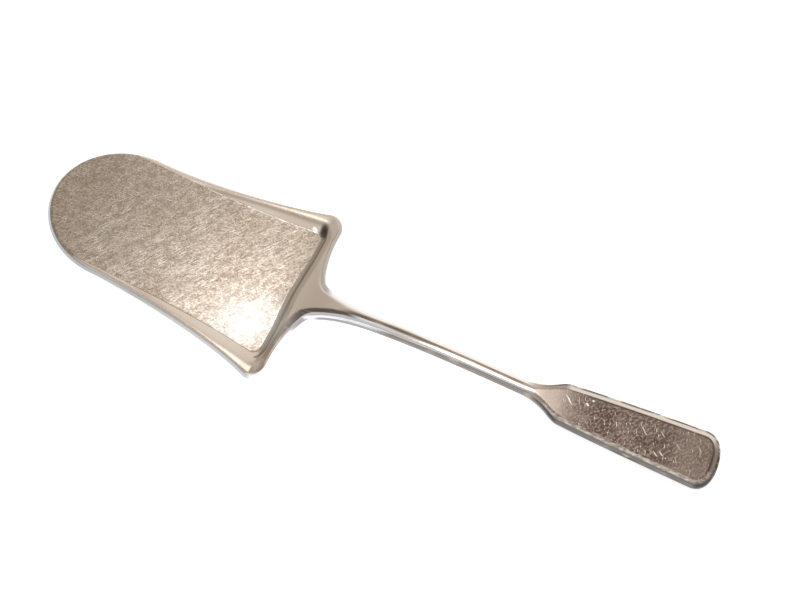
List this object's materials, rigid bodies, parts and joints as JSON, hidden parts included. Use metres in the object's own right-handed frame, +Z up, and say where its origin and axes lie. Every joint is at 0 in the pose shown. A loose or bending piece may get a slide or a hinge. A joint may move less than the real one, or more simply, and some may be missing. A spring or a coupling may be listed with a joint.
{
  "type": "serving spatula",
  "caption": "Flat serving spatula with a tongue-shaped blade inside a raised border, a slim arched shaft and a flat spade-shaped handle end.",
  "frame": {"origin": "on the table, under the middle of the spatula, which rests on the heel of its pan and on its spade end", "axes": "+X from the blade's tip to the end of the handle, +Y across the blade, +Z up from the table"},
  "size_m": [0.2561, 0.0724, 0.0174],
  "materials": {
    "blade_metal": "silver-plated sheet, satin from fine scratches, warm with tarnish, brighter on its rim",
    "handle_metal": "silver-plated bar, polished on the shaft, scratched and tarnished brown on the spade end",
    "solder": "silver solder, filed and polished flush"
  },
  "bodies": {
    "root": {"blade": "blade_metal", "neck_solder": "solder", "handle": "handle_metal"}
  },
  "joints": []
}
